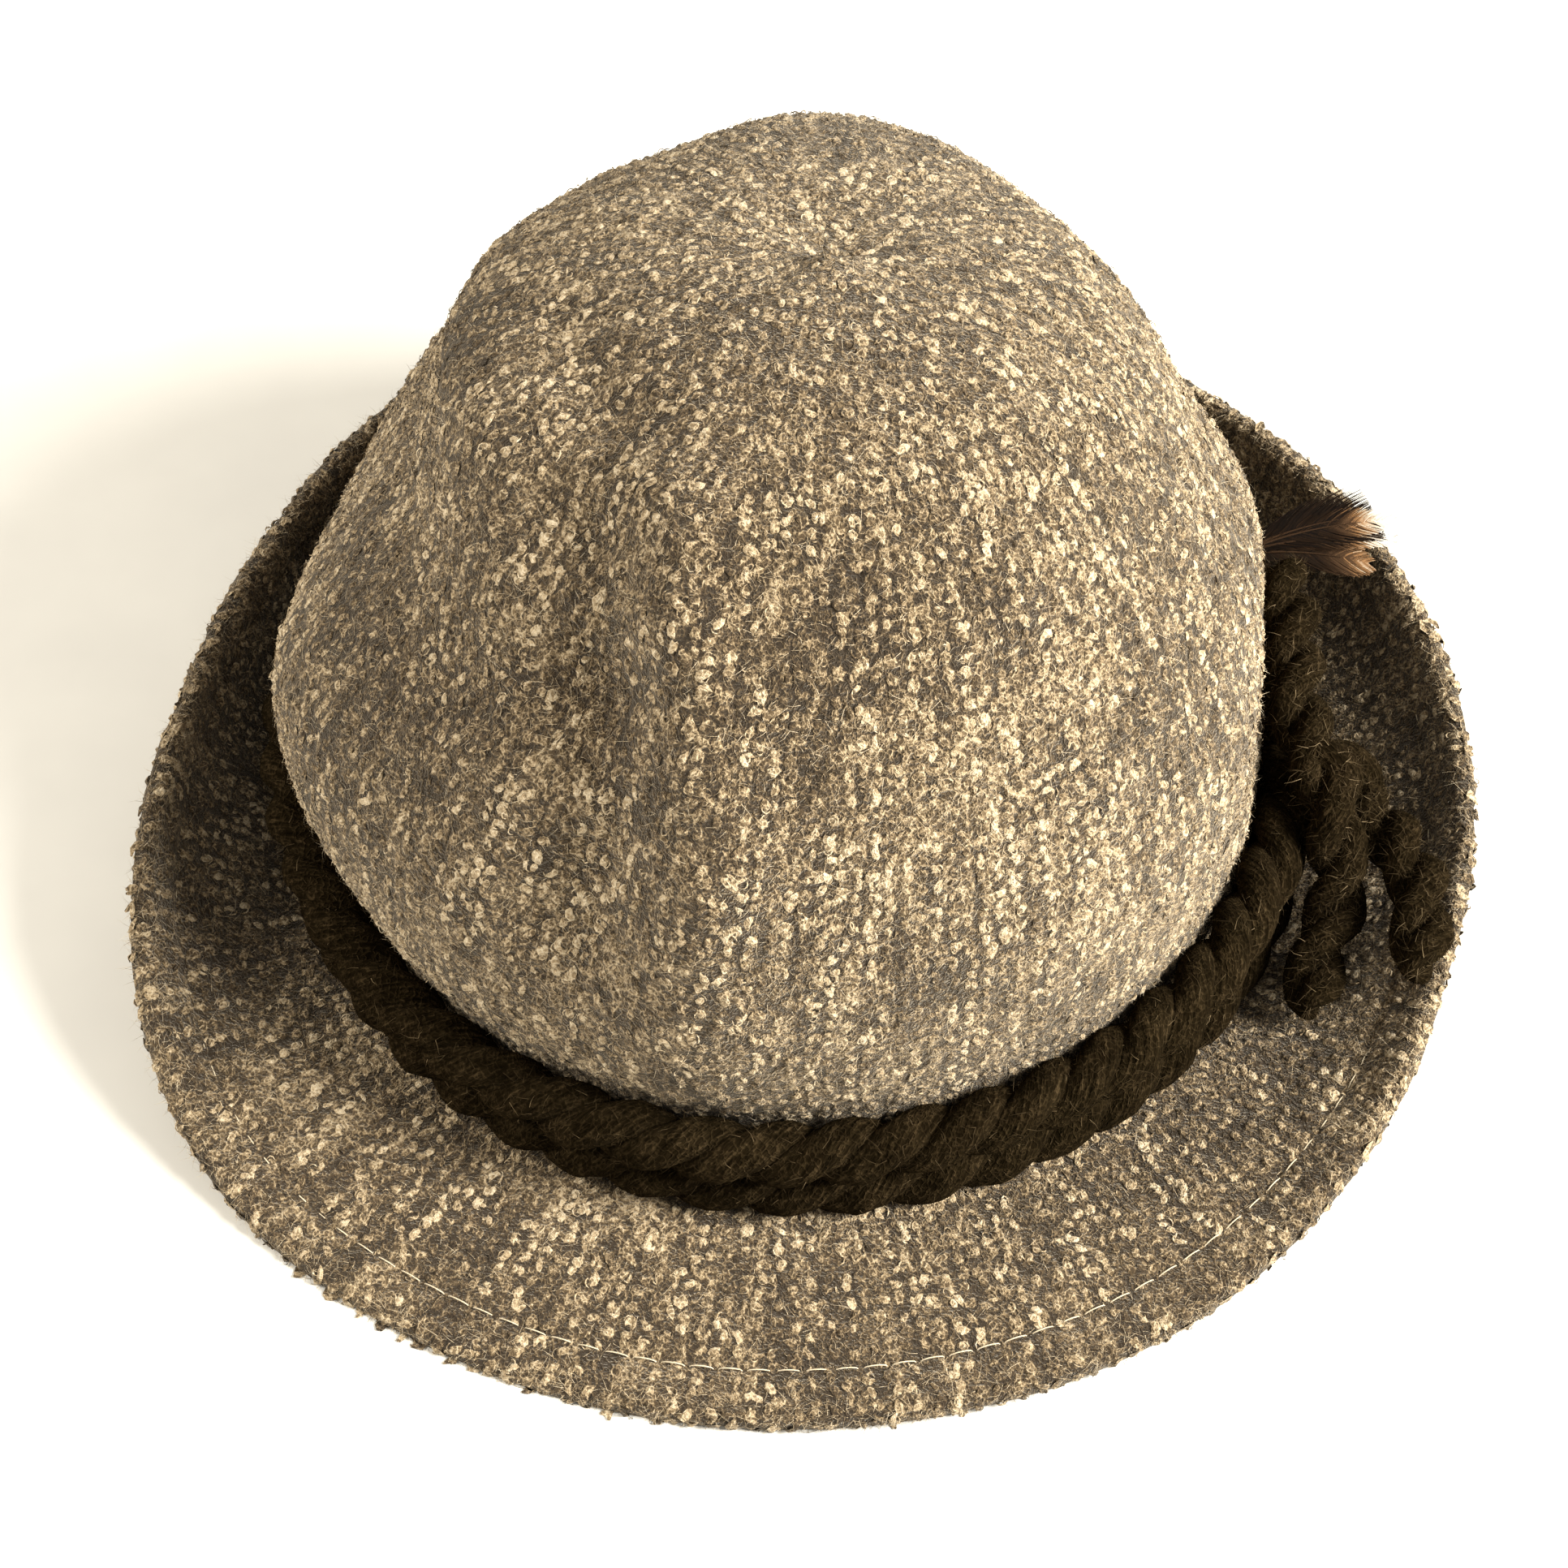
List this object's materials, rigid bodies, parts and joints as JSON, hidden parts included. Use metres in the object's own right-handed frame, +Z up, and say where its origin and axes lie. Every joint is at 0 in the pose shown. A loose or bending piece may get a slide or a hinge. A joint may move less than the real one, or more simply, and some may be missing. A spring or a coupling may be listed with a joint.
{
  "type": "tyrolean hat",
  "caption": "Soft wool-knit Tyrolean hat: a pinched dome crown, a hemmed brim turned up at the sides and back, and a knotted twisted cord band with a small plume.",
  "frame": {"origin": "under the middle of the hat's outline, on the surface it rests on", "axes": "+Z up through the crown, -Y to the hat's front, +X to the wearer's left, where the cord is tied"},
  "size_m": [0.2666, 0.2666, 0.1489],
  "materials": {
    "knit": "fulled boucle wool knit, cream, taupe and dark brown heather",
    "cord": "soft fuzzy two-ply wool cord, dark olive brown",
    "feather": "dark brown feather with pale tips"
  },
  "bodies": {
    "root": {"crown": "knit", "brim": "knit", "cord_lower": "cord", "cord_upper": "cord", "cord_tie": "cord", "plume": "feather"}
  },
  "joints": []
}
